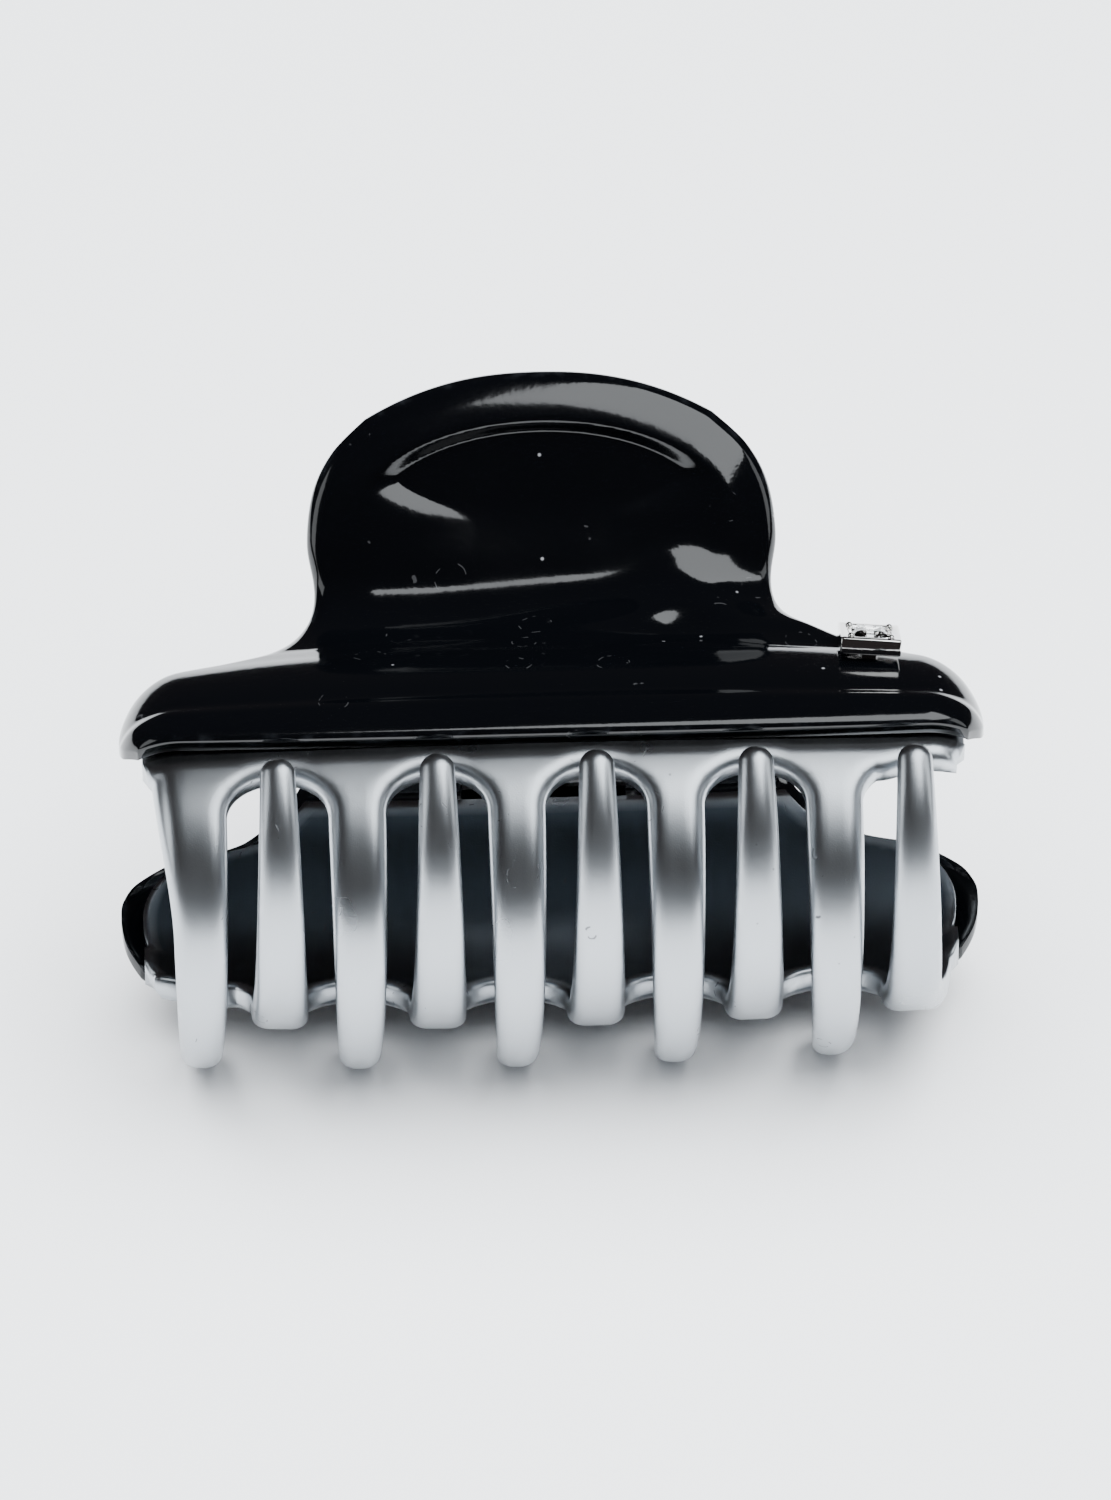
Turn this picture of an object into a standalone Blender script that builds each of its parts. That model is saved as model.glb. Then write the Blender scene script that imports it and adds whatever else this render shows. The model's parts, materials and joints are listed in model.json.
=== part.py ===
"""Spring-hinged claw hair clip: two identical jaws, each a glossy black shell over a silver comb.

The clip is designed upright, with the hinge axis along X through the origin, the handles up and
the front jaw towards -Y. Every curved piece starts as a flat blank with coordinates
(across, along, depth): across the clip, along the skin from the handle's tip down to the claw
tips, and depth under the outer skin. The blank is then bent over the jaw's profile. The finished
clip is laid on its back, where it rests on the rear handle's tip and on the front claws' tips.
"""

import math

import bmesh
import bpy
from mathutils import Matrix, Vector

MM = 0.001

# Overall sizes
CLIP_WIDTH = 85.2 * MM
HANDLE_REACH = 32.5 * MM  # hinge axis to handle tip, measured along the handle
JAW_RADIUS = 21.5 * MM  # outer skin of the jaw
JAW_DROP = 19.3 * MM  # jaw's centre of curvature below the hinge axis
JAW_CROSSING = 3.0 * MM  # how far that centre lies past the hinge axis
JAW_END_RADIUS = 6.0 * MM
JAW_END_FULLNESS = 0.93  # share of that quarter round that the ends turn through
JAW_BARREL = 1.0 * MM
SHOULDER_SLOPE = 1.5 * MM

# Handle
HANDLE_LEAN = math.radians(45)
HANDLE_STAND_OFF = 7.8 * MM  # hinge axis to the handle's outer face
HANDLE_WALL = 3.2 * MM
TAB_HALF_WIDTH = 23.3 * MM
TAB_WIDEST_AT = 16.7 * MM
TAB_SQUARENESS = 2.3
NECK_HALF_WIDTH = 22.7 * MM
NECK_RADIUS = 7.0 * MM
DISH_DEPTH = 0.9 * MM
DISH_HALF_WIDTH = 16.0 * MM
DISH_TOP = 6.6 * MM
DISH_BOTTOM = 18.5 * MM

# Shell over the jaw
SHELL_WALL = 1.8 * MM
SEAM_ANGLE = math.radians(-10.5)
WALL_THINS_FROM = 6.0 * MM  # above the start of the jaw's circle
WALL_THINS_TO = 3.6 * MM

# Comb
COMB_WALL = 3.0 * MM
COMB_SET_BACK = 0.6 * MM  # comb's skin below the shell's skin
COMB_END_GAP = 2.2 * MM
LINER_RISE = 2.6 * MM  # how far the liner reaches up into the neck
BAND_HEIGHT = 3.3 * MM  # seam to the top of the arches
ARCH_HEIGHT = 4.3 * MM
CLAW_COUNT = 5
CLAW_TIP_ANGLE = math.radians(-154)
CLAW_ROOT_WIDTH = 5.6 * MM
CLAW_TIP_WIDTH = 3.3 * MM
CLAW_END_MARGIN = 5.3 * MM
TIP_THINNING = 0.3 * MM

# Hinge
PIN_RADIUS = 0.9 * MM
PIN_PLAY = 0.15 * MM
PIN_HEAD_OVERHANG = 0.7 * MM
PIN_HEAD_HEIGHT = 0.8 * MM
EAR_RADIUS = 2.5 * MM
EAR_THICKNESS = 1.0 * MM
EAR_INSET = 0.4 * MM  # ear's foot from the bracket's upper and lower edge
FRONT_EAR_AT = 5.5 * MM
BRACKET_HALF_WIDTH = 8.2 * MM
BRACKET_THICKNESS = 0.8 * MM
BRACKET_TOP = 2.5 * MM  # bracket's upper edge below the start of the neck curve
BRACKET_HEIGHT = 4.3 * MM
RIVET_RADIUS = 0.6 * MM
RIVET_HEAD_RADIUS = 1.2 * MM
RIVET_HEAD_HEIGHT = 0.6 * MM
RIVET_GRIP = 1.8 * MM
RIVET_AT = 2.9 * MM

# Spring
WIRE_RADIUS = 0.4 * MM
COIL_CLEARANCE = 0.5 * MM  # between the pin and the inside of the coil
COIL_TURNS = 5
COIL_PITCH = 1.1 * MM
LEG_REACH = 17.0 * MM

# Ornament
SETTING_SIDE = 6.0 * MM
SETTING_HEIGHT = 1.7 * MM
SETTING_WALL = 0.9 * MM
SETTING_FLOOR = 0.5 * MM
SETTING_POST = 1.6 * MM
SETTING_POST_LENGTH = 1.2 * MM
SETTING_ACROSS = 31.6 * MM
SETTING_BELOW_NECK = 4.2 * MM
SETTING_LIFT = 0.55 * MM  # flat base over the curved skin
STONE_RISE = 0.3 * MM

GAP = 0.3 * MM  # between pieces that touch
LINER_GAP = 0.45 * MM  # between the comb's upper part and the shell around it
HALF_WIDTH = CLIP_WIDTH / 2
COMB_HALF_WIDTH = HALF_WIDTH - COMB_END_GAP
PITCH = (COMB_HALF_WIDTH - CLAW_END_MARGIN) / 2.25
REAR_EAR_AT = FRONT_EAR_AT + EAR_THICKNESS + 1.5 * GAP
PIN_HEAD_RADIUS = PIN_RADIUS + PIN_HEAD_OVERHANG
COIL_RADIUS = PIN_RADIUS + COIL_CLEARANCE + WIRE_RADIUS


# ---- the jaw's profile -------------------------------------------------------------------


def facing(angle):
    """Unit vector in the plane across the hinge: (outwards, up)."""
    return Vector((math.cos(angle), math.sin(angle)))


JAW_CENTRE = Vector((-JAW_CROSSING, -JAW_DROP))
HANDLE_FACING = facing(-HANDLE_LEAN)
HANDLE_UP = Vector((math.sin(HANDLE_LEAN), math.cos(HANDLE_LEAN)))


def neck_centre():
    """Centre of the hollow neck curve, which touches the handle's face and the jaw's circle."""
    stand_off = HANDLE_STAND_OFF + NECK_RADIUS
    aside = stand_off - HANDLE_FACING.dot(JAW_CENTRE)
    reach = math.sqrt((JAW_RADIUS + NECK_RADIUS) ** 2 - aside**2)
    return HANDLE_FACING * stand_off + HANDLE_UP * (HANDLE_UP.dot(JAW_CENTRE) + reach)


NECK_CENTRE = neck_centre()
NECK_START = HANDLE_REACH - HANDLE_UP.dot(NECK_CENTRE)
JAW_TOP_ANGLE = math.atan2(*reversed(NECK_CENTRE - JAW_CENTRE))
JAW_START = NECK_START + NECK_RADIUS * (JAW_TOP_ANGLE + HANDLE_LEAN)


def along_jaw(angle):
    return JAW_START + JAW_RADIUS * (JAW_TOP_ANGLE - angle)


SEAM = along_jaw(SEAM_ANGLE)
CLAW_END = along_jaw(CLAW_TIP_ANGLE)
ARCH_TOP = SEAM + BAND_HEIGHT
ARCH_FOOT = ARCH_TOP + ARCH_HEIGHT


def profile(along):
    """Point of the outer skin and the direction it faces, both as (outwards, up)."""
    if along < NECK_START:
        point = HANDLE_FACING * HANDLE_STAND_OFF + HANDLE_UP * (HANDLE_REACH - along)
        return point, HANDLE_FACING
    if along < JAW_START:
        out = facing((along - NECK_START) / NECK_RADIUS - HANDLE_LEAN)
        return NECK_CENTRE - out * NECK_RADIUS, out
    out = facing(JAW_TOP_ANGLE - (along - JAW_START) / JAW_RADIUS)
    return JAW_CENTRE + out * JAW_RADIUS, out


def ease(low, high, value):
    share = min(1.0, max(0.0, (value - low) / (high - low)))
    return share * share * (3 - 2 * share)


def end_drop(across, along):
    """How far the skin falls inwards towards the clip's two ends."""
    share = abs(across) / HALF_WIDTH
    on_jaw = ease(NECK_START, JAW_START, along)
    on_shoulder = on_jaw * (1 - ease(JAW_START, SEAM, along))
    past = JAW_END_FULLNESS * max(0.0, abs(across) - HALF_WIDTH + JAW_END_RADIUS)
    rounded = JAW_END_RADIUS - math.sqrt(JAW_END_RADIUS**2 - past**2)
    bow = JAW_BARREL * share**2 + rounded
    return on_jaw * bow + on_shoulder * SHOULDER_SLOPE * share**3


def bend(across, along, depth):
    """Place of a blank's point on the bent jaw, upright, with the front jaw towards -Y."""
    point, out = profile(along)
    point = point - out * (depth + end_drop(across, along))
    return Vector((across, -point.x, point.y))


def frame_on_skin(across, along, depth):
    """Matrix whose +Z faces out of the skin and whose +Y runs down the skin."""
    step = 0.5 * MM
    side = bend(across + step, along, 0) - bend(across - step, along, 0)
    down = bend(across, along + step, 0) - bend(across, along - step, 0)
    out = side.cross(down).normalized()
    out = out if out.y * bend(across, along, 0).y > 0 else -out
    down.normalize()
    turn = Matrix((down.cross(out), down, out)).transposed()
    return Matrix.Translation(bend(across, along, 0) - out * depth) @ turn.to_4x4()


# ---- building helpers ----------------------------------------------------------------------


def clear_scene():
    for item in list(bpy.data.objects):
        bpy.data.objects.remove(item, do_unlink=True)


def make_material(name, colour, roughness, metallic):
    material = bpy.data.materials.new(name)
    material.use_nodes = True
    shader = material.node_tree.nodes["Principled BSDF"]
    shader.inputs["Base Color"].default_value = (*colour, 1)
    shader.inputs["Roughness"].default_value = roughness
    shader.inputs["Metallic"].default_value = metallic
    return material


def make_empty(name, parent=None):
    empty = bpy.data.objects.new(name, None)
    bpy.context.scene.collection.objects.link(empty)
    empty.parent = parent
    return empty


def add_object(name, mesh, parent, material=None):
    item = bpy.data.objects.new(name, mesh)
    bpy.context.scene.collection.objects.link(item)
    item.parent = parent
    if material and not mesh.materials:
        mesh.materials.append(material)
    return item


def to_mesh(name, bm, smooth=True):
    bmesh.ops.recalc_face_normals(bm, faces=bm.faces)
    mesh = bpy.data.meshes.new(name)
    bm.to_mesh(mesh)
    bm.free()
    if smooth:
        mesh.shade_smooth()
        mesh.set_sharp_from_angle(angle=math.radians(40))
    return mesh


def add_boolean(item, tool, operation):
    modifier = item.modifiers.new(tool.name, "BOOLEAN")
    modifier.object = tool
    modifier.operation = operation
    modifier.solver = "EXACT"
    tool.hide_render = True
    tool.display_type = "WIRE"


def blank_grid(columns, rows):
    """Flat grid whose vertices are keyed by (column, row), row 0 at the handle's end."""
    bm = bmesh.new()
    bmesh.ops.create_grid(bm, x_segments=columns, y_segments=rows, size=1)
    verts = {}
    for vert in bm.verts:
        column = round((vert.co.x + 1) / 2 * columns)
        row = round((vert.co.y + 1) / 2 * rows)
        verts[column, row] = vert
    return bm, verts


def thicken_and_bend(bm, outer_depth, inner_depth):
    """Give the flat blank its two skins, then bend it."""
    made = bmesh.ops.extrude_face_region(bm, geom=bm.faces[:])
    inner = {item for item in made["geom"] if isinstance(item, bmesh.types.BMVert)}
    for vert in bm.verts:
        depth = inner_depth if vert in inner else outer_depth
        across, along, _ = vert.co
        vert.co = bend(across, along, depth(across, along))


def turned(name, profile_points, segments=16):
    """Solid of revolution about Z from (radius, height) points that start and end on the axis."""
    bm = bmesh.new()
    verts = [bm.verts.new((radius, 0, height)) for radius, height in profile_points]
    edges = [bm.edges.new(pair) for pair in zip(verts, verts[1:])]
    bmesh.ops.spin(
        bm, geom=verts + edges, axis=(0, 0, 1), cent=(0, 0, 0),
        angle=math.tau, steps=segments, use_merge=True,
    )
    bmesh.ops.remove_doubles(bm, verts=bm.verts, dist=0.001 * MM)
    return to_mesh(name, bm)


def cutter(name, radius, length, parent, place):
    """Round cutting tool centred on the given place, its axis along the place's Z."""
    bm = bmesh.new()
    bmesh.ops.create_cone(
        bm, cap_ends=True, segments=16, radius1=radius, radius2=radius, depth=length
    )
    tool = add_object(name, to_mesh(name, bm), parent)
    tool.matrix_local = place
    tool.hide_render = True
    tool.display_type = "WIRE"
    return tool


def smooth_keys(keys, position):
    """Catmull-Rom reading of a list of equal-length tuples at a fractional index."""
    last = len(keys) - 1
    start = min(int(position), last - 1)
    share = position - start
    four = [keys[min(last, max(0, start + step))] for step in (-1, 0, 1, 2)]
    result = []
    for a, b, c, d in zip(*four):
        curve = 2 * b + (c - a) * share + (2 * a - 5 * b + 4 * c - d) * share**2
        curve += (3 * b - a - 3 * c + d) * share**3
        result.append(curve / 2)
    return result


# ---- shell ---------------------------------------------------------------------------------

SHELL_COLUMNS = 20
LINER_TOP = JAW_START - LINER_RISE


def tab_outline(turn):
    """Rounded thumb tab, a squared ellipse: (half width, along) at a turn up from its widest."""
    power = 2 / TAB_SQUARENESS
    half = TAB_HALF_WIDTH * math.cos(turn) ** power
    return half, TAB_WIDEST_AT * (1 - math.sin(turn) ** power)


def shell_rows():
    """Rows of the shell's blank: (half width, along at the edge, along at the middle)."""
    corner = math.radians(45)
    rows = []
    for share, middle in ((1, 0), (0.66, 0.3), (0.33, 0.62), (0, 1)):
        half, edge = tab_outline(corner * share)
        rows.append((half, edge, TAB_WIDEST_AT * middle))
    shoulder = HALF_WIDTH
    flare = JAW_START - NECK_START
    rows += [
        (NECK_HALF_WIDTH, NECK_START + 0.16 * flare, NECK_START + 0.1 * flare),
        (NECK_HALF_WIDTH + 1.4 * MM, NECK_START + 0.5 * flare, NECK_START + 0.4 * flare),
        (NECK_HALF_WIDTH + 4.6 * MM, NECK_START + 0.84 * flare, NECK_START + 0.7 * flare),
        (shoulder - 11 * MM, JAW_START + 0.6 * MM, JAW_START - 0.3 * MM),
        (shoulder - 5.4 * MM, JAW_START + 2.2 * MM, JAW_START + 2.6 * MM),
        (shoulder - 1.8 * MM, JAW_START + 5.2 * MM, JAW_START + 5.6 * MM),
        (shoulder - 0.3 * MM, JAW_START + 8.8 * MM, JAW_START + 9 * MM),
        (shoulder, JAW_START + 12.3 * MM, JAW_START + 12.3 * MM),
        (shoulder - 0.4 * MM, SEAM - 3 * MM, SEAM - 3 * MM),
        (shoulder - 1.8 * MM, SEAM - 0.9 * MM, SEAM),
    ]
    return rows


def shell_outer_depth(across, along):
    in_dish = abs(across) < DISH_HALF_WIDTH and DISH_TOP < along < DISH_BOTTOM
    return DISH_DEPTH if in_dish else 0.0


def shell_inner_depth(across, along):
    thinner = ease(JAW_START - WALL_THINS_FROM, JAW_START - WALL_THINS_TO, along)
    return HANDLE_WALL + (SHELL_WALL - HANDLE_WALL) * thinner


def shell_mesh(name):
    rows = shell_rows()
    dish_rows = [0, 1, 1.55, 2.1, 3.1]  # the dish needs rows at its rim and on its floor
    stations = dish_rows + list(range(4, len(rows)))
    bm, verts = blank_grid(SHELL_COLUMNS, len(stations) - 1)
    for (column, row), vert in verts.items():
        half, edge, middle = smooth_keys(rows, stations[row])
        share = math.sin(math.pi / 2 * (2 * column / SHELL_COLUMNS - 1))  # closer at the ends
        along = middle + (edge - middle) * abs(share) ** 2.3
        vert.co = (share * half, along, 0)
    thicken_and_bend(bm, shell_outer_depth, shell_inner_depth)
    return to_mesh(name, bm)


# ---- comb ----------------------------------------------------------------------------------

CLAW_COLUMNS = 2
GAP_COLUMNS = 4
STUB_COLUMNS = 3
CLAW_ROWS = 14
TIP_ROWS = 2


def claw_centre(index):
    return (index - 2.25) * PITCH


def claw_half_width(along):
    """Half the claw's width below the arches: slim taper, then a round tip."""
    share = (along - ARCH_FOOT) / (CLAW_END - ARCH_FOOT)
    half = (CLAW_ROOT_WIDTH + (CLAW_TIP_WIDTH - CLAW_ROOT_WIDTH) * share**1.6) / 2
    left = (CLAW_END - along) / (CLAW_TIP_WIDTH / 2)
    if left < 1:
        half *= math.sqrt(max(0.2, 1 - (1 - left) ** 2))
    return half


def arch_point(turn):
    """Arch between two claws: (distance from the claw's middle, along), turn 0 at its foot."""
    foot = claw_half_width(ARCH_FOOT)
    span = PITCH / 2 - foot
    return foot + span * (1 - math.cos(turn)), ARCH_FOOT - ARCH_HEIGHT * math.sin(turn)


def shell_half_width(along):
    """Half width of the shell's blank at its edge, read between its rows."""
    rows = shell_rows()
    for (half, edge, _), (next_half, next_edge, _) in zip(rows, rows[1:]):
        if edge <= along <= next_edge:
            return half + (next_half - half) * (along - edge) / (next_edge - edge)
    return HALF_WIDTH


def liner_share(along):
    """Share of the comb's full width that fits inside the shell at one row of the liner."""
    if along > SEAM - COMB_END_GAP:
        return 1.0
    return min(1.0, (shell_half_width(along) - COMB_END_GAP) / COMB_HALF_WIDTH)


def end_reach(along):
    """Outer edge of the comb's end, which leans in to the end claw's edge."""
    lean = ease(SEAM, ARCH_FOOT + 14 * MM, along)
    claw = 2.25 * PITCH + claw_half_width(max(along, ARCH_FOOT))
    corner = 0.8 * MM * ease(ARCH_TOP - 2 * MM, ARCH_TOP, along) * (1 - lean)
    return COMB_HALF_WIDTH + (claw - COMB_HALF_WIDTH) * lean - corner


def comb_levels():
    """Along values of the rows: inside the shell, across the band, down the arches and claws."""
    step = SEAM + GAP
    band = [LINER_TOP + share * (step - LINER_TOP) for share in (0, 0.13, 0.33, 0.67, 1)]
    band.append(step + 0.3 * MM)
    turns = [math.radians(angle) for angle in (45, 22, 0)]
    arch = [arch_point(turn)[1] for turn in turns]
    straight = CLAW_END - CLAW_TIP_WIDTH / 2 - ARCH_FOOT
    claw = [ARCH_FOOT + straight * (row + 1) / CLAW_ROWS for row in range(CLAW_ROWS)]
    tip = [CLAW_END - CLAW_TIP_WIDTH / 2 * (1 - (row + 1) / TIP_ROWS) for row in range(TIP_ROWS)]
    return band, turns, arch, claw + tip


def comb_columns():
    """Column kinds from left to right: ('claw' or 'gap' or 'stub', index, share across)."""
    columns = []
    for index in range(CLAW_COUNT):
        columns += [("claw", index, step / CLAW_COLUMNS) for step in range(CLAW_COLUMNS + 1)]
        if index < CLAW_COUNT - 1:
            columns += [("gap", index, step / GAP_COLUMNS) for step in range(1, GAP_COLUMNS)]
    columns += [("stub", 0, (step + 1) / STUB_COLUMNS) for step in range(STUB_COLUMNS)]
    return columns


def claw_edges(index, from_middle, along):
    """Left and right edge of a claw at one row; the first claw's left edge is the comb's end."""
    left = claw_centre(index) - from_middle
    if index == 0:
        left = -end_reach(along)
    return left, claw_centre(index) + from_middle


def comb_blank_point(kind, index, share, row, levels):
    """Point of the comb's flat blank; the whole row is narrowed where the shell is narrow."""
    across, along = full_width_point(kind, index, share, row, levels)
    band = levels[0]
    return across * (liner_share(band[row]) if row < len(band) else 1.0), along


def full_width_point(kind, index, share, row, levels):
    band, turns, arch, claws = levels
    notch = len(band)
    if row < notch:
        along = band[row]
        from_middle = arch_point(turns[0])[0]
        settle = 0
    elif row < notch + len(arch):
        from_middle, along = arch_point(turns[row - notch])
        settle = 1
    else:
        along = claws[row - notch - len(arch)]
        from_middle = claw_half_width(along)
        settle = 1
    if kind == "claw":
        left, right = claw_edges(index, from_middle, along)
        return left + (right - left) * share, along
    if kind == "gap":
        turn = turns[0] + (math.pi - 2 * turns[0]) * share
        reach, top = arch_point(min(turn, math.pi - turn))
        across = claw_centre(index) + (reach if turn <= math.pi / 2 else PITCH - reach)
        return across, along + (top - arch[0]) * settle
    start = claw_centre(CLAW_COUNT - 1) + from_middle
    across = start + (end_reach(ARCH_TOP if along > ARCH_TOP else along) - start) * share
    return across, along + (ARCH_TOP - arch[0]) * settle * ease(0, 1, share * 1.6)


def comb_outer_depth(across, along):
    step = SEAM + GAP
    out = ease(step, step + 0.3 * MM, along)
    hidden = SHELL_WALL + LINER_GAP
    thinning = TIP_THINNING * ease(ARCH_FOOT, CLAW_END, along)
    return hidden + (COMB_SET_BACK - hidden) * out + thinning


def comb_inner_depth(across, along):
    return COMB_SET_BACK + COMB_WALL - TIP_THINNING * ease(ARCH_FOOT, CLAW_END, along)


def comb_mesh(name):
    levels = comb_levels()
    band, _, arch, claws = levels
    columns = comb_columns()
    row_count = len(band) + len(arch) + len(claws)
    bm, verts = blank_grid(len(columns) - 1, row_count - 1)
    notch = len(band)
    open_columns = [
        column
        for column in range(len(columns) - 1)
        if not (columns[column][0] == "claw" and columns[column + 1][0] == "claw")
    ]
    holes = []
    for column in open_columns:
        for row in range(notch, row_count - 1):
            corners = [verts[column + a, row + b] for a, b in ((0, 0), (1, 0), (1, 1), (0, 1))]
            shared = set(corners[0].link_faces)
            for corner in corners[1:]:
                shared &= set(corner.link_faces)
            holes += list(shared)
    for (column, row), vert in verts.items():
        vert.co = (*comb_blank_point(*columns[column], row, levels), 0)
    bmesh.ops.delete(bm, geom=holes, context="FACES")
    thicken_and_bend(bm, comb_outer_depth, comb_inner_depth)
    return to_mesh(name, bm)


# ---- hinge ---------------------------------------------------------------------------------


def bracket_depth():
    return HANDLE_WALL + GAP


def bracket_plate_mesh(name):
    top = NECK_START + BRACKET_TOP
    bm, verts = blank_grid(2, 6)
    for (column, row), vert in verts.items():
        vert.co = ((column - 1) * BRACKET_HALF_WIDTH, top + BRACKET_HEIGHT * row / 6, 0)
    near = bracket_depth()
    thicken_and_bend(bm, lambda x, y: near, lambda x, y: near + BRACKET_THICKNESS)
    return to_mesh(name, bm)


def ear_mesh(name, across):
    """Ear from the curved plate to the eye that the pin passes through."""
    middle = bracket_depth() + BRACKET_THICKNESS / 2
    top = NECK_START + BRACKET_TOP + EAR_INSET
    height = BRACKET_HEIGHT - 2 * EAR_INSET
    outline = [bend(across, top + height * step / 4, middle) for step in range(5)]
    for step in range(9):
        turn = math.radians(-100 + 200 * step / 8)
        outline.append(
            Vector((across, EAR_RADIUS * math.cos(turn), EAR_RADIUS * math.sin(turn)))
        )
    bm = bmesh.new()
    face = bm.faces.new([bm.verts.new(point) for point in outline])
    made = bmesh.ops.extrude_face_region(bm, geom=[face])
    moved = [item for item in made["geom"] if isinstance(item, bmesh.types.BMVert)]
    bmesh.ops.translate(bm, verts=moved, vec=(EAR_THICKNESS, 0, 0))
    bmesh.ops.translate(bm, verts=bm.verts, vec=(-EAR_THICKNESS / 2, 0, 0))
    return to_mesh(name, bm)


def add_bracket(name, half, ears_at, material):
    bracket = add_object(name, bracket_plate_mesh(name), half, material)
    for side, across in (("left", -ears_at), ("right", ears_at)):
        ear = add_object(f"{name}_ear_{side}", ear_mesh("ear", across), half)
        add_boolean(bracket, ear, "UNION")
    along_x = Matrix.Rotation(math.pi / 2, 4, "Y")
    bore = cutter(f"{name}_bore", PIN_RADIUS + PIN_PLAY, 4 * REAR_EAR_AT, half, along_x)
    add_boolean(bracket, bore, "DIFFERENCE")
    return bracket


def rivet_frame(side):
    along = NECK_START + BRACKET_TOP + BRACKET_HEIGHT / 2
    return frame_on_skin(side * RIVET_AT, along, bracket_depth())


def add_rivets(prefix, half, shell, bracket, material):
    """Blind rivets that hold the bracket to the shell's inner wall."""
    head = -BRACKET_THICKNESS - GAP
    points = [
        (0, RIVET_GRIP + GAP),
        (RIVET_RADIUS, RIVET_GRIP + GAP),
        (RIVET_RADIUS, head),
        (RIVET_HEAD_RADIUS, head),
        (0.7 * RIVET_HEAD_RADIUS, head - RIVET_HEAD_HEIGHT),
        (0, head - RIVET_HEAD_HEIGHT),
    ]
    hole_radius = RIVET_RADIUS + GAP
    length = 2 * (RIVET_GRIP + 2 * GAP)
    for side, word in ((-1, "left"), (1, "right")):
        name = f"{prefix}_rivet_{word}"
        place = rivet_frame(side)
        rivet = add_object(name, turned(name, points, 12), half, material)
        rivet.matrix_local = place
        hole = cutter(f"{name}_hole", hole_radius, length, half, place)
        add_boolean(shell, hole, "DIFFERENCE")
        add_boolean(bracket, hole, "DIFFERENCE")


def add_pin(parent, material):
    """Headed pin along X, closed at its other end by a cap."""
    reach = REAR_EAR_AT + EAR_THICKNESS / 2 + GAP
    end = reach + PIN_HEAD_HEIGHT + GAP
    pin = turned(
        "hinge_pin",
        [
            (0, end),
            (PIN_RADIUS, end),
            (PIN_RADIUS, -reach),
            (PIN_HEAD_RADIUS, -reach),
            (0.75 * PIN_HEAD_RADIUS, -reach - PIN_HEAD_HEIGHT),
            (0, -reach - PIN_HEAD_HEIGHT),
        ],
    )
    cap = turned(
        "pin_cap",
        [
            (0, end + GAP + 0.5 * MM),
            (0.75 * PIN_HEAD_RADIUS, end + GAP + 0.5 * MM),
            (PIN_HEAD_RADIUS, end),
            (PIN_HEAD_RADIUS, reach),
            (PIN_RADIUS + 0.2 * MM, reach),
            (PIN_RADIUS + 0.2 * MM, end + GAP),
            (0, end + GAP),
        ],
    )
    along_x = Matrix.Rotation(math.pi / 2, 4, "Y")
    for name, mesh in (("hinge_pin", pin), ("pin_cap", cap)):
        add_object(name, mesh, parent, material).matrix_local = along_x


def spring_points():
    """Wire of the torsion spring: front leg, coil about the pin, rear leg."""
    length = COIL_TURNS * COIL_PITCH
    leg_end = HANDLE_STAND_OFF - HANDLE_WALL - GAP - WIRE_RADIUS
    front = HANDLE_FACING * leg_end + HANDLE_UP * LEG_REACH
    start = math.atan2(-front.x, front.y) + math.acos(COIL_RADIUS / front.length)
    sweep = COIL_TURNS * math.tau - 2 * (start - math.pi / 2)
    points = [Vector((length / 2, -front.x, front.y))]
    steps = 12 * COIL_TURNS
    for step in range(steps + 1):
        turn = -(start - math.pi / 2) + math.pi / 2 + sweep * step / steps
        y, z = COIL_RADIUS * math.cos(turn), COIL_RADIUS * math.sin(turn)
        points.append(Vector((length * (0.5 - step / steps), y, z)))
    points.append(Vector((-length / 2, front.x, front.y)))
    return points


def add_spring(parent, material):
    curve = bpy.data.curves.new("torsion_spring", "CURVE")
    curve.dimensions = "3D"
    curve.bevel_depth = WIRE_RADIUS
    curve.bevel_resolution = 1
    curve.use_fill_caps = True
    spline = curve.splines.new("POLY")
    points = spring_points()
    spline.points.add(len(points) - 1)
    for knot, point in zip(spline.points, points):
        knot.co = (*point, 1)
    spring = bpy.data.objects.new("torsion_spring", curve)
    bpy.context.scene.collection.objects.link(spring)
    curve.materials.append(material)
    spring.parent = parent


# ---- ornament ------------------------------------------------------------------------------


def grow_face(bm, face, margin, rise):
    """Inset a face, then raise or sink the inner one, and give back that inner face."""
    bmesh.ops.inset_region(bm, faces=[face], thickness=margin, use_even_offset=True)
    made = bmesh.ops.extrude_face_region(bm, geom=[face])
    moved = [item for item in made["geom"] if isinstance(item, bmesh.types.BMVert)]
    bmesh.ops.translate(bm, verts=moved, vec=(0, 0, rise))
    bmesh.ops.delete(bm, geom=[face], context="FACES_ONLY")


def facing_z(bm, sign):
    return max(bm.faces, key=lambda face: sign * face.calc_center_median().z)


def setting_mesh():
    """Square bezel with a pocket for the stone and a post that enters the shell."""
    bm = bmesh.new()
    bmesh.ops.create_cube(bm, size=1)
    bmesh.ops.scale(bm, verts=bm.verts, vec=(SETTING_SIDE, SETTING_SIDE, SETTING_HEIGHT))
    bmesh.ops.translate(bm, verts=bm.verts, vec=(0, 0, SETTING_HEIGHT / 2))
    grow_face(bm, facing_z(bm, 1), SETTING_WALL, SETTING_FLOOR - SETTING_HEIGHT)
    grow_face(bm, facing_z(bm, -1), (SETTING_SIDE - SETTING_POST) / 2, -SETTING_POST_LENGTH)
    return to_mesh("stone_setting", bm, smooth=False)


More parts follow.
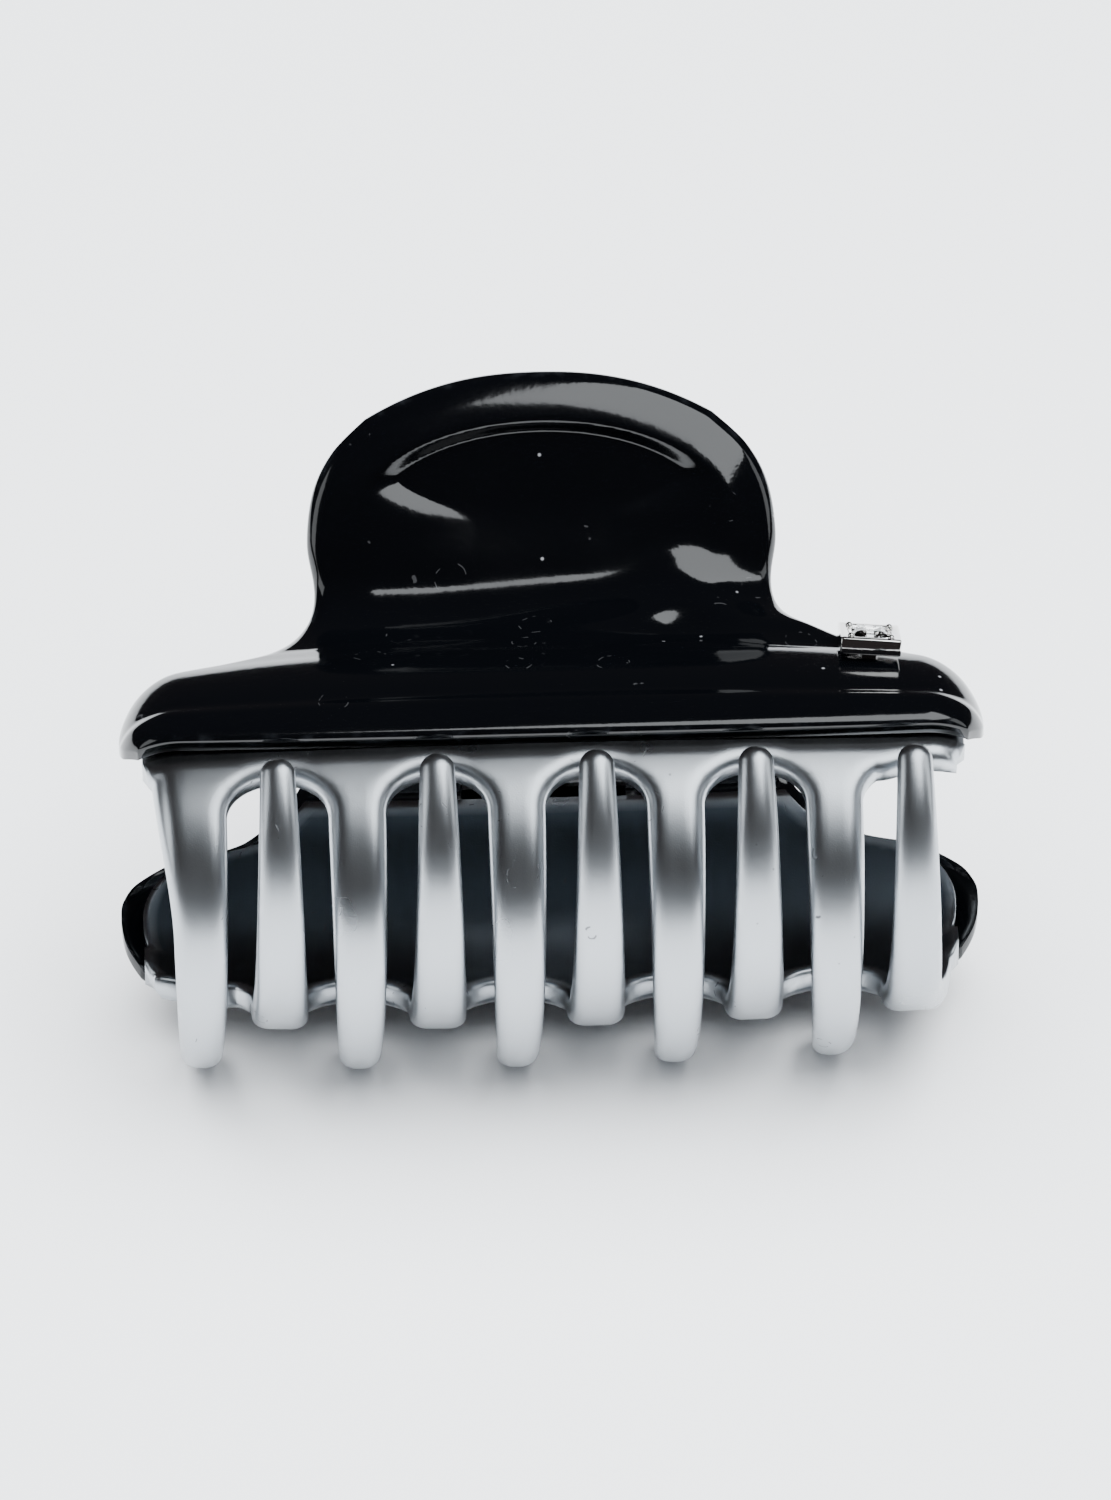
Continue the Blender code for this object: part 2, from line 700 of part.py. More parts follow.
def stone_mesh():
    """Square-cut stone: pavilion in the pocket, table just proud of the bezel."""
    side = SETTING_SIDE - 2 * (SETTING_WALL + GAP)
    low = SETTING_FLOOR + GAP
    girdle = SETTING_HEIGHT - 0.2 * MM
    bm = bmesh.new()
    bmesh.ops.create_cone(
        bm, cap_ends=True, segments=4, radius1=0.45 * side, radius2=side / math.sqrt(2),
        depth=girdle - low,
    )
    bmesh.ops.translate(bm, verts=bm.verts, vec=(0, 0, (girdle + low) / 2))
    bmesh.ops.rotate(bm, verts=bm.verts, matrix=Matrix.Rotation(math.pi / 4, 3, "Z"))
    top = facing_z(bm, 1)
    made = bmesh.ops.extrude_face_region(bm, geom=[top])
    moved = [item for item in made["geom"] if isinstance(item, bmesh.types.BMVert)]
    bmesh.ops.delete(bm, geom=[top], context="FACES_ONLY")
    bmesh.ops.scale(bm, verts=moved, vec=(0.62, 0.62, 1))
    bmesh.ops.translate(bm, verts=moved, vec=(0, 0, STONE_RISE + SETTING_HEIGHT - girdle))
    return to_mesh("stone", bm, smooth=False)


def add_ornament(half, shell, metal, crystal):
    along = JAW_START + SETTING_BELOW_NECK
    place = frame_on_skin(SETTING_ACROSS, along, -SETTING_LIFT)
    for name, mesh, material in (
        ("stone_setting", setting_mesh(), metal),
        ("stone", stone_mesh(), crystal),
    ):
        add_object(name, mesh, half, material).matrix_local = place
    radius = SETTING_POST / math.sqrt(2) + GAP
    depth = 2 * (SETTING_POST_LENGTH + GAP)
    hole = cutter("stone_setting_hole", radius, depth, half, place)
    add_boolean(shell, hole, "DIFFERENCE")


# ---- assembly ------------------------------------------------------------------------------


def lying_tilt():
    """Angle by which the upright axis is raised when the clip lies on its back.

    It then rests on the rear handle's tip and on the tips of the front claws, which reach round
    behind the rear jaw.
    """
    handle_tip = HANDLE_FACING * HANDLE_STAND_OFF + HANDLE_UP * HANDLE_REACH
    skin, out = profile(CLAW_END)
    claw_tip = skin - out * (COMB_SET_BACK + TIP_THINNING)
    return math.atan2(handle_tip.x + claw_tip.x, handle_tip.y - claw_tip.y)


def set_on_table(root):
    """Bring the clip's bounding box to stand on Z = 0, centred on X and Y."""
    bpy.context.view_layer.update()
    graph = bpy.context.evaluated_depsgraph_get()
    corners = []
    for item in bpy.context.scene.objects:
        if item.type in ("MESH", "CURVE") and not item.hide_render:
            evaluated = item.evaluated_get(graph)
            mesh = evaluated.to_mesh()
            corners += [evaluated.matrix_world @ vert.co for vert in mesh.vertices]
            evaluated.to_mesh_clear()
    low = [min(corner[axis] for corner in corners) for axis in range(3)]
    high = [max(corner[axis] for corner in corners) for axis in range(3)]
    root.location = (-(low[0] + high[0]) / 2, -(low[1] + high[1]) / 2, -low[2])
    bpy.context.view_layer.update()


def main():
    clear_scene()
    black = make_material("black_lacquer", (0.004, 0.005, 0.009), 0.06, 0.0)
    silver = make_material("silver_lacquer", (0.62, 0.64, 0.67), 0.32, 1.0)
    steel = make_material("spring_steel", (0.5, 0.5, 0.5), 0.3, 1.0)
    chrome = make_material("chrome", (0.75, 0.75, 0.75), 0.08, 1.0)
    crystal = make_material("crystal", (0.9, 0.92, 0.95), 0.02, 0.0)

    clip = make_empty("clip")
    clip.rotation_euler = (lying_tilt() - math.pi / 2, 0, 0)
    front = make_empty("front_half", clip)
    rear = make_empty("rear_half", clip)
    rear.rotation_euler = (0, 0, math.pi)

    shells = {}
    for word, half, ears_at in (("front", front, FRONT_EAR_AT), ("rear", rear, REAR_EAR_AT)):
        shells[word] = add_object(f"{word}_shell", shell_mesh(f"{word}_shell"), half, black)
        add_object(f"{word}_comb", comb_mesh(f"{word}_comb"), half, silver)
        bracket = add_bracket(f"{word}_hinge_bracket", half, ears_at, steel)
        add_rivets(word, half, shells[word], bracket, steel)

    add_pin(clip, steel)
    add_spring(clip, steel)
    add_ornament(front, shells["front"], chrome, crystal)
    set_on_table(clip)


main()
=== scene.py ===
import json
import math

import bmesh
import bpy
from mathutils import Matrix, Vector, kdtree
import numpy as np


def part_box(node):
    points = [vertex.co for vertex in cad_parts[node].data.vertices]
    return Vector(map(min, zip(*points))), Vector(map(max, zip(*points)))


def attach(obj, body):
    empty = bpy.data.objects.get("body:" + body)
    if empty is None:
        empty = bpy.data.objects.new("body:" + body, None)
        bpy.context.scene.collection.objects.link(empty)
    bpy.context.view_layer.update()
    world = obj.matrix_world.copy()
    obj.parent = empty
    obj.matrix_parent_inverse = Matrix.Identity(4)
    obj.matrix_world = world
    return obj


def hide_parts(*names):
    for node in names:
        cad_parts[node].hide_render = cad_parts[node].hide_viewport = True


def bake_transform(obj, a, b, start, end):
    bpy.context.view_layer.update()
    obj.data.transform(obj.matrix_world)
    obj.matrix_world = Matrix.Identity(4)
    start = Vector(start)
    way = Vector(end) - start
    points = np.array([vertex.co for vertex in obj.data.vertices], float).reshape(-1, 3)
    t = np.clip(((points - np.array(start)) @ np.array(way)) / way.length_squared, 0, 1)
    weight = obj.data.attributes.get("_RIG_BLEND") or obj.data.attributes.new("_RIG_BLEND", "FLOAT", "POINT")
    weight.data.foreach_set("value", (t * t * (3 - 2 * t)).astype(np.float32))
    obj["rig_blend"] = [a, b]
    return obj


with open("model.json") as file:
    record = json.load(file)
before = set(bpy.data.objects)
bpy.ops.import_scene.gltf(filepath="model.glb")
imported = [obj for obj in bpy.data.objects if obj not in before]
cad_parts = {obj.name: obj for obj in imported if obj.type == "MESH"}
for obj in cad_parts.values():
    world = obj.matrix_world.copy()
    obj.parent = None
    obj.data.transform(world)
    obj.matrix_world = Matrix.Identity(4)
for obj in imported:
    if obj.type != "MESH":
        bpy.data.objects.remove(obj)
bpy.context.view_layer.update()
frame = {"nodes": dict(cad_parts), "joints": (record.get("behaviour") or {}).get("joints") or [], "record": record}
mm = 0.001

# The jaw's bent profile, shared by shells, combs and everything that sits on them
jaw = {
    "radius": 21.5 * mm,
    "drop": 19.3 * mm,  # centre of the jaw's curve below the hinge
    "crossing": 3.0 * mm,  # how far that centre lies past the hinge
    "seamAngle": -10.5,
    "tipAngle": -154.0,
    "endRadius": 6.0 * mm,
    "endFullness": 0.93,
    "barrel": 1.0 * mm,
    "shoulderSlope": 1.5 * mm,
}
handle = {
    "lean": 45.0,
    "reach": 32.5 * mm,  # hinge to handle tip
    "standOff": 7.8 * mm,  # hinge to the outer face
    "wall": 3.2 * mm,
    "neckRadius": 7.0 * mm,
}

shellLow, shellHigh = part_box("front_shell")
halfWidth = (shellHigh.x - shellLow.x) / 2
hingeJoint = frame["joints"][0]
hingePoint = Vector(hingeJoint["pos_m"])
padAxis = Vector(frame["record"]["mounts"][0]["axis"])
layBack = math.radians(handle["lean"]) - math.atan2(padAxis.z, -padAxis.y)  # clip's rise off the table


def facing(angle):
    return Vector((math.cos(angle), math.sin(angle)))  # (outwards, up)


lean = math.radians(handle["lean"])
jawCentre = Vector((-jaw["crossing"], -jaw["drop"]))
handleOut = facing(-lean)
handleUp = Vector((math.sin(lean), math.cos(lean)))
neckOff = handle["standOff"] + handle["neckRadius"]
neckReach = math.sqrt((jaw["radius"] + handle["neckRadius"]) ** 2 - (neckOff - handleOut.dot(jawCentre)) ** 2)
neckCentre = handleOut * neckOff + handleUp * (handleUp.dot(jawCentre) + neckReach)
neckStart = handle["reach"] - handleUp.dot(neckCentre)
jawTop = math.atan2(neckCentre.y - jawCentre.y, neckCentre.x - jawCentre.x)
jawStart = neckStart + handle["neckRadius"] * (jawTop + lean)


def alongJaw(degrees):
    return jawStart + jaw["radius"] * (jawTop - math.radians(degrees))


seam = alongJaw(jaw["seamAngle"])
clawEnd = alongJaw(jaw["tipAngle"])


def ease(low, high, value):
    share = min(1.0, max(0.0, (value - low) / (high - low)))
    return share * share * (3 - 2 * share)


def profile(along):
    if along < neckStart:
        return handleOut * handle["standOff"] + handleUp * (handle["reach"] - along), handleOut
    if along < jawStart:
        out = facing((along - neckStart) / handle["neckRadius"] - lean)
        return neckCentre - out * handle["neckRadius"], out
    out = facing(jawTop - (along - jawStart) / jaw["radius"])
    return jawCentre + out * jaw["radius"], out


def endDrop(across, along):
    share = abs(across) / halfWidth
    onJaw = ease(neckStart, jawStart, along)
    onShoulder = onJaw * (1 - ease(jawStart, seam, along))
    past = jaw["endFullness"] * max(0.0, abs(across) - halfWidth + jaw["endRadius"])
    rounded = jaw["endRadius"] - math.sqrt(jaw["endRadius"] ** 2 - past**2)
    return onJaw * (jaw["barrel"] * share**2 + rounded) + onShoulder * jaw["shoulderSlope"] * share**3


def bend(across, along, depth):
    point, out = profile(along)
    point = point - out * (depth + endDrop(across, along))
    return Vector((across, -point.x, point.y))


layDown = Matrix.Translation(hingePoint) @ Matrix.Rotation(layBack - math.pi / 2, 4, "X")
halves = {
    "front": layDown,
    "rear": layDown @ Matrix.Rotation(math.pi, 4, "Z"),
}


def onSkin(across, along, depth):
    step = 0.5 * mm
    side = bend(across + step, along, 0) - bend(across - step, along, 0)
    down = bend(across, along + step, 0) - bend(across, along - step, 0)
    out = side.cross(down).normalized()
    out = out if out.y * bend(across, along, 0).y > 0 else -out
    down.normalize()
    turn = Matrix((down.cross(out), down, out)).transposed()
    return Matrix.Translation(bend(across, along, 0) - out * depth) @ turn.to_4x4()


def newGroup(name, inputs, outputs):
    group = bpy.data.node_groups.new(name, "ShaderNodeTree")
    for label, kind, value in inputs:
        socket = group.interface.new_socket(label, in_out="INPUT", socket_type=kind)
        if value is not None:
            socket.default_value = value
    for label, kind in outputs:
        group.interface.new_socket(label, in_out="OUTPUT", socket_type=kind)
    return group, group.nodes.new("NodeGroupInput"), group.nodes.new("NodeGroupOutput")


def addNode(tree, kind, values=None, **settings):
    node = tree.nodes.new("ShaderNode" + kind)
    for key, value in settings.items():
        setattr(node, key, value)
    for key, value in (values or {}).items():
        node.inputs[key].default_value = value
    return node


def calc(tree, operation, first, second=0.5, clamp=False):
    node = addNode(tree, "Math", operation=operation, use_clamp=clamp)
    for slotIndex, value in enumerate((first, second)):
        if isinstance(value, (int, float)):
            node.inputs[slotIndex].default_value = value
        else:
            tree.links.new(value, node.inputs[slotIndex])
    return node.outputs[0]


def rampUp(tree, value, low, high):
    node = addNode(tree, "MapRange", {"From Min": low, "From Max": high}, interpolation_type="SMOOTHSTEP")
    tree.links.new(value, node.inputs["Value"])
    return node.outputs["Result"]


def dustGroup():
    group, into, out = newGroup(
        "dustSpecks",
        [("Vector", "NodeSocketVector", None), ("Scale", "NodeSocketFloat", 700.0), ("Amount", "NodeSocketFloat", 0.5)],
        [("Mask", "NodeSocketFloat")],
    )
    cells = addNode(group, "TexVoronoi", {"Randomness": 1.0})
    group.links.new(into.outputs["Vector"], cells.inputs["Vector"])
    group.links.new(into.outputs["Scale"], cells.inputs["Scale"])
    speck = calc(group, "SUBTRACT", 1.0, rampUp(group, cells.outputs["Distance"], 0.04, 0.12))
    pick = addNode(group, "SeparateColor")
    group.links.new(cells.outputs["Color"], pick.inputs["Color"])
    chosen = calc(group, "GREATER_THAN", pick.outputs[0], 0.93)  # only a few cells hold a speck
    mask = calc(group, "MULTIPLY", calc(group, "MULTIPLY", speck, chosen), into.outputs["Amount"])
    group.links.new(mask, out.inputs["Mask"])
    return group


def scuffGroup():
    group, into, out = newGroup(
        "hairScuffs",
        [("Vector", "NodeSocketVector", None), ("Scale", "NodeSocketFloat", 190.0), ("Amount", "NodeSocketFloat", 0.5)],
        [("Mask", "NodeSocketFloat")],
    )
    wobble = addNode(group, "TexNoise", {"Scale": 420.0, "Detail": 1.0})
    group.links.new(into.outputs["Vector"], wobble.inputs["Vector"])
    bent = addNode(group, "VectorMath", operation="MULTIPLY_ADD")
    group.links.new(wobble.outputs["Color"], bent.inputs[0])
    bent.inputs[1].default_value = (0.0009, 0.0009, 0.0009)
    group.links.new(into.outputs["Vector"], bent.inputs[2])
    cells = addNode(group, "TexVoronoi", {"Randomness": 1.0})
    group.links.new(bent.outputs[0], cells.inputs["Vector"])
    group.links.new(into.outputs["Scale"], cells.inputs["Scale"])
    ring = calc(group, "ABSOLUTE", calc(group, "SUBTRACT", cells.outputs["Distance"], 0.3))
    line = calc(group, "SUBTRACT", 1.0, rampUp(group, ring, 0.004, 0.014))  # thin ring in each cell
    gate = addNode(group, "TexNoise", {"Scale": 1300.0, "Detail": 0.0})
    group.links.new(into.outputs["Vector"], gate.inputs["Vector"])
    arc = rampUp(group, gate.outputs[0], 0.6, 0.66)  # cuts each ring into short arcs
    pick = addNode(group, "SeparateColor")
    group.links.new(cells.outputs["Color"], pick.inputs["Color"])
    chosen = calc(group, "GREATER_THAN", pick.outputs[1], 0.55)
    mask = calc(group, "MULTIPLY", calc(group, "MULTIPLY", line, arc), chosen)
    group.links.new(calc(group, "MULTIPLY", mask, into.outputs["Amount"]), out.inputs["Mask"])
    return group


def grainGroup():
    group, into, out = newGroup(
        "fineGrain",
        [("Vector", "NodeSocketVector", None), ("Scale", "NodeSocketFloat", 4000.0), ("Stretch", "NodeSocketFloat", 1.0)],
        [("Height", "NodeSocketFloat"), ("Cloud", "NodeSocketFloat")],
    )
    stretch = addNode(group, "CombineXYZ", {"Y": 1.0, "Z": 1.0})
    group.links.new(into.outputs["Stretch"], stretch.inputs["X"])
    scaled = addNode(group, "VectorMath", operation="MULTIPLY")
    group.links.new(into.outputs["Vector"], scaled.inputs[0])
    group.links.new(stretch.outputs[0], scaled.inputs[1])
    grain = addNode(group, "TexNoise", {"Detail": 2.0, "Roughness": 0.6})
    group.links.new(scaled.outputs[0], grain.inputs["Vector"])
    group.links.new(into.outputs["Scale"], grain.inputs["Scale"])
    cloud = addNode(group, "TexNoise", {"Scale": 90.0, "Detail": 3.0})
    group.links.new(into.outputs["Vector"], cloud.inputs["Vector"])
    group.links.new(grain.outputs[0], out.inputs["Height"])
    group.links.new(cloud.outputs[0], out.inputs["Cloud"])
    return group


def wearGroup():
    group, into, out = newGroup(
        "edgeWear",
        [("Vector", "NodeSocketVector", None), ("Amount", "NodeSocketFloat", 0.5)],
        [("Mask", "NodeSocketFloat")],
    )
    edge = addNode(group, "Attribute", attribute_name="edge")
    patch = addNode(group, "TexNoise", {"Scale": 600.0, "Detail": 4.0})
    group.links.new(into.outputs["Vector"], patch.inputs["Vector"])
    near = calc(group, "MULTIPLY", edge.outputs["Fac"], rampUp(group, patch.outputs[0], 0.5, 0.7))
    group.links.new(calc(group, "MULTIPLY", near, into.outputs["Amount"], True), out.inputs["Mask"])
    return group


effects = {"dust": dustGroup(), "scuff": scuffGroup(), "grain": grainGroup(), "wear": wearGroup()}

finishes = {
    "blackLacquer": {
        "colour": (0.0007, 0.0009, 0.0013), "innerShade": (0.0008, 0.001, 0.0014), "metallic": 0.0, "roughness": (0.06, 0.12),
        "set": {"IOR": 1.5, "Coat Weight": 0.1, "Coat Roughness": 0.03},
        "dust": (520.0, 0.4), "scuff": 0.05, "grain": (900.0, 1.0, 0.00001), "wear": 0.15, "worn": (0.05, 0.055, 0.065),
        "speck": (0.42, 0.42, 0.44),
    },
    "silverLacquer": {
        # innerShade is the painted shade colour given to the inner faces
        "colour": (0.45, 0.475, 0.50), "innerShade": (0.13, 0.15, 0.17), "metallic": 1.0, "roughness": (0.27, 0.33),
        "set": {"Coat Weight": 0.18, "Coat Roughness": 0.12},
        "dust": (620.0, 0.55), "scuff": 0.75, "grain": (6500.0, 1.0, 0.000012), "wear": 0.35, "worn": (0.78, 0.80, 0.82),
        "speck": (0.16, 0.16, 0.17),
    },
    "springSteel": {
        "colour": (0.50, 0.50, 0.51), "innerShade": (0.50, 0.50, 0.51), "metallic": 1.0, "roughness": (0.22, 0.4),
        "set": {},
        "dust": (700.0, 0.3), "scuff": 0.4, "grain": (2600.0, 0.12, 0.00002), "wear": 0.0, "worn": (0.7, 0.7, 0.7),
        "speck": (0.2, 0.18, 0.16),
    },
    "polishedChrome": {
        "colour": (0.78, 0.76, 0.74), "innerShade": (0.78, 0.76, 0.74), "metallic": 1.0, "roughness": (0.04, 0.1),
        "set": {},
        "dust": (900.0, 0.3), "scuff": 0.2, "grain": (3000.0, 1.0, 0.000004), "wear": 0.0, "worn": (0.8, 0.8, 0.8),
        "speck": (0.3, 0.3, 0.3),
    },
}


def placeGroup(tree, key, vector, **values):
    node = tree.nodes.new("ShaderNodeGroup")
    node.node_tree = effects[key]
    tree.links.new(vector, node.inputs["Vector"])
    for label, value in values.items():
        node.inputs[label].default_value = value
    return node


def mixColour(tree, mask, first, second):
    node = addNode(tree, "Mix", data_type="RGBA")
    tree.links.new(mask, node.inputs[0])
    for socketIndex, value in ((6, first), (7, second)):
        if isinstance(value, tuple):
            node.inputs[socketIndex].default_value = (*value, 1)
        else:
            tree.links.new(value, node.inputs[socketIndex])
    return node.outputs[2]


def makeFinish(name, values):
    material = bpy.data.materials.new(name)
    material.use_nodes = True
    tree = material.node_tree
    shader = tree.nodes["Principled BSDF"]
    place = addNode(tree, "TexCoord").outputs["Object"]
    grainScale, stretch, bumpHeight = values["grain"]
    grain = placeGroup(tree, "grain", place, Scale=grainScale, Stretch=stretch)
    dust = placeGroup(tree, "dust", place, Scale=values["dust"][0], Amount=values["dust"][1])
    scuff = placeGroup(tree, "scuff", place, Amount=values["scuff"])
    wear = placeGroup(tree, "wear", place, Amount=values["wear"])
    innerShade = addNode(tree, "Attribute", attribute_name="innerShade").outputs["Fac"]
    # painted shade: the inner faces take the darker colour
    innerShaded = mixColour(tree, innerShade, values["colour"], values["innerShade"])
    tone = mixColour(tree, wear.outputs["Mask"], innerShaded, values["worn"])
    scratched = mixColour(tree, scuff.outputs["Mask"], tone, values["speck"])
    dusty = mixColour(tree, dust.outputs["Mask"], scratched, values["speck"])
    tree.links.new(dusty, shader.inputs["Base Color"])
    low, high = values["roughness"]
    rough = addNode(tree, "MapRange", {"From Min": 0.3, "From Max": 0.7, "To Min": low, "To Max": high})
    tree.links.new(grain.outputs["Cloud"], rough.inputs["Value"])
    dull = calc(tree, "MULTIPLY", calc(tree, "ADD", scuff.outputs["Mask"], dust.outputs["Mask"]), 0.35)
    tree.links.new(calc(tree, "ADD", rough.outputs["Result"], dull, True), shader.inputs["Roughness"])
    relief = calc(tree, "SUBTRACT", grain.outputs["Height"], scuff.outputs["Mask"])
    bump = addNode(tree, "Bump", {"Strength": 1.0, "Distance": bumpHeight})
    tree.links.new(relief, bump.inputs["Height"])
    tree.links.new(bump.outputs["Normal"], shader.inputs["Normal"])
    shader.inputs["Metallic"].default_value = values["metallic"]
    for label, value in values["set"].items():
        shader.inputs[label].default_value = value
    return material


finish = {name: makeFinish(name, values) for name, values in finishes.items()}


def makeCrystal():
    material = bpy.data.materials.new("crystal")
    material.use_nodes = True
    tree = material.node_tree
    shader = tree.nodes["Principled BSDF"]
    place = addNode(tree, "TexCoord").outputs["Object"]
    grain = placeGroup(tree, "grain", place, Scale=500.0, Stretch=1.0)
    tint = mixColour(tree, grain.outputs["Cloud"], (0.93, 0.95, 0.97), (1.0, 0.99, 0.97))
    tree.links.new(tint, shader.inputs["Base Color"])
    shader.inputs["Roughness"].default_value = 0.01
    shader.inputs["IOR"].default_value = 1.75
    shader.inputs["Transmission Weight"].default_value = 1.0
    return material


finish["crystal"] = makeCrystal()
print("finishes made")


def blankGrid(columns, rows):
    bm = bmesh.new()
    bm.verts.layers.float.new("edge")  # how near a point lies to the piece's edge
    bm.verts.layers.float.new("innerShade")  # inner face, where a darker colour is painted on as shade
    bmesh.ops.create_grid(bm, x_segments=columns, y_segments=rows, size=1)
    keyed = {}
    for vert in bm.verts:
        keyed[round((vert.co.x + 1) / 2 * columns), round((vert.co.y + 1) / 2 * rows)] = vert
    return bm, keyed


def edgeDistances(bm):
    points = []
    for edge in bm.edges:
        if edge.is_boundary:
            start, end = (vert.co for vert in edge.verts)
            points += [start.lerp(end, share / 3) for share in range(3)]
    tree = kdtree.KDTree(len(points))
    for index, point in enumerate(points):
        tree.insert(point, index)
    tree.balance()
    return {vert: tree.find(vert.co)[2] for vert in bm.verts}


def roundOff(distance, width, height):
    if distance >= width:
        return 0.0
    return height * (1 - math.sqrt(max(0.0, 1 - (1 - distance / width) ** 2)))


def thickenAndBend(bm, outerDepth, innerDepth, place, edgeBand):
    distances = edgeDistances(bm)
    edge = bm.verts.layers.float["edge"]
    innerShade = bm.verts.layers.float["innerShade"]
    fromEdge = {}
    for vert, distance in distances.items():
        vert[edge] = max(0.0, 1 - distance / edgeBand)
        fromEdge[vert.co.x, vert.co.y] = distance
    made = bmesh.ops.extrude_face_region(bm, geom=bm.faces[:])
    inner = {item for item in made["geom"] if isinstance(item, bmesh.types.BMVert)}
    for vert in bm.verts:
        across, along = vert.co.x, vert.co.y
        distance = fromEdge[across, along]
        depth = (innerDepth if vert in inner else outerDepth)(across, along, distance)
        vert.co = place @ bend(across, along, depth)
        # painted shade weight on the inner face, growing in from its edge
        vert[innerShade] = ease(0.5 * mm, 1.3 * mm, distance) if vert in inner else 0.0


def finishPiece(bm, name, material, body, replaced, sharp=50):
    bmesh.ops.recalc_face_normals(bm, faces=bm.faces)
    mesh = bpy.data.meshes.new(name)
    bm.to_mesh(mesh)
    bm.free()
    mesh.shade_smooth()
    if sharp:
        mesh.set_sharp_from_angle(angle=math.radians(sharp))
    mesh.materials.append(finish[material])
    piece = bpy.data.objects.new(name, mesh)
    bpy.context.scene.collection.objects.link(piece)
    if body:
        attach(piece, body)
    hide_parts(*replaced)
    return piece


def smoothKeys(keys, position):
    last = len(keys) - 1
    start = min(int(position), last - 1)
    share = position - start
    four = [keys[min(last, max(0, start + step))] for step in (-1, 0, 1, 2)]
    result = []
    for a, b, c, d in zip(*four):
        curve = 2 * b + (c - a) * share + (2 * a - 5 * b + 4 * c - d) * share**2
        result.append((curve + (3 * b - a - 3 * c + d) * share**3) / 2)
    return result


shell = {
    "tabHalf": 23.3 * mm,
    "tabWidestAt": 16.7 * mm,
    "tabSquareness": 2.3,
    "neckHalf": 22.7 * mm,
    "wall": 1.8 * mm,
    "thinsFrom": 6.0 * mm,  # above the start of the jaw's curve
    "thinsTo": 3.6 * mm,
    "rimWidth": 6.0 * mm,  # broad fall towards the tab's rim
    "rimHeight": 1.4 * mm,
    "lipWidth": 1.0 * mm,  # tight roll at the very edge
    "lipHeight": 0.75 * mm,
    "neckFill": 1.7 * mm,  # softens the bend between tab and shoulder
    "neckFillReach": 8.5 * mm,
    "rollBulge": 0.5 * mm,  # rolled band above the seam
    "dishHalf": 18.5 * mm,
    "dishTop": 4.8 * mm,
    "dishCentre": 14.0 * mm,
    "dishDepth": 0.9 * mm,
    "dishChamfer": 1.3 * mm,
    "columns": 150,
    "tabRows": 17,  # rows between two keys on the tab
    "jawRows": 9,
}


def tabOutline(turn):
    power = 2 / shell["tabSquareness"]
    half = shell["tabHalf"] * math.cos(turn) ** power
    return half, shell["tabWidestAt"] * (1 - math.sin(turn) ** power)


def shellKeys():
    keys = []
    for share, middle in ((1, 0), (0.66, 0.3), (0.33, 0.62), (0, 1)):
        half, edge = tabOutline(math.radians(45) * share)
        keys.append((half, edge, shell["tabWidestAt"] * middle))
    flare = jawStart - neckStart
    neck = shell["neckHalf"]
    keys += [
        (neck, neckStart + 0.16 * flare, neckStart + 0.1 * flare),
        (neck + 1.4 * mm, neckStart + 0.5 * flare, neckStart + 0.4 * flare),
        (neck + 4.6 * mm, neckStart + 0.84 * flare, neckStart + 0.7 * flare),
        (halfWidth - 11 * mm, jawStart + 0.6 * mm, jawStart - 0.3 * mm),
        (halfWidth - 5.4 * mm, jawStart + 2.2 * mm, jawStart + 2.6 * mm),
        (halfWidth - 1.8 * mm, jawStart + 5.2 * mm, jawStart + 5.6 * mm),
        (halfWidth - 0.3 * mm, jawStart + 8.8 * mm, jawStart + 9 * mm),
        (halfWidth, jawStart + 12.3 * mm, jawStart + 12.3 * mm),
        (halfWidth - 0.4 * mm, seam - 3 * mm, seam - 3 * mm),
        (halfWidth - 1.8 * mm, seam - 0.9 * mm, seam),
    ]
    return keys


def dishSink(across, along):
    rise = (along - shell["dishCentre"]) / (shell["dishCentre"] - shell["dishTop"])
    ring = math.hypot(across / shell["dishHalf"], min(0.0, rise))
    inside = (1 - ring) * (shell["dishCentre"] - shell["dishTop"])
    width = shell["dishChamfer"] + 5 * mm * ease(10 * mm, 15 * mm, along)
    share = min(1.0, max(0.0, inside / width))
    soft = 0.12  # small fillets keep both lines of the dish's edge crisp
    level = min(1.0, max(0.0, (share - soft / 2) / (1 - soft)))
    level += soft / 4 * (ease(0, soft, share) * (1 - ease(soft, 2 * soft, share)))
    return shell["dishDepth"] * level * (1 - ease(12.5 * mm, 21 * mm, along))


def neckFill(across, along):
    crest = 3.0 * mm * math.exp(-(((across - 13.6 * mm) / (5 * mm)) ** 2))  # reaches higher at one side
    offset = along - neckStart - 7.6 * mm + crest
    offset /= shell["neckFillReach"] if offset < 0 else 0.65 * shell["neckFillReach"]
    if abs(offset) >= 1:
        return 0.0
    side = 0.25 + 0.75 * ease(-12 * mm, 8 * mm, across)  # fuller towards the stone's end
    return shell["neckFill"] * side * (1 + math.cos(math.pi * offset)) / 2


def shellOuter(across, along, distance):
    onJaw = ease(neckStart, jawStart, along)
    fall = max(0.0, 1 - distance / shell["rimWidth"])
    rim = shell["rimHeight"] * fall**2 * (1 - onJaw) + roundOff(distance, shell["lipWidth"] * (1 + 0.6 * onJaw), shell["lipHeight"])
    roll = ease(alongJaw(5.5), alongJaw(0), along) * shell["rollBulge"]
    return dishSink(across, along) + rim - roll - neckFill(across, along)


def shellInner(across, along, distance):
    thinner = ease(jawStart - shell["thinsFrom"], jawStart - shell["thinsTo"], along)
    wall = handle["wall"] + (shell["wall"] - handle["wall"]) * thinner
    return wall - roundOff(distance, 1.2 * mm, 0.9 * mm - 0.5 * mm * thinner)


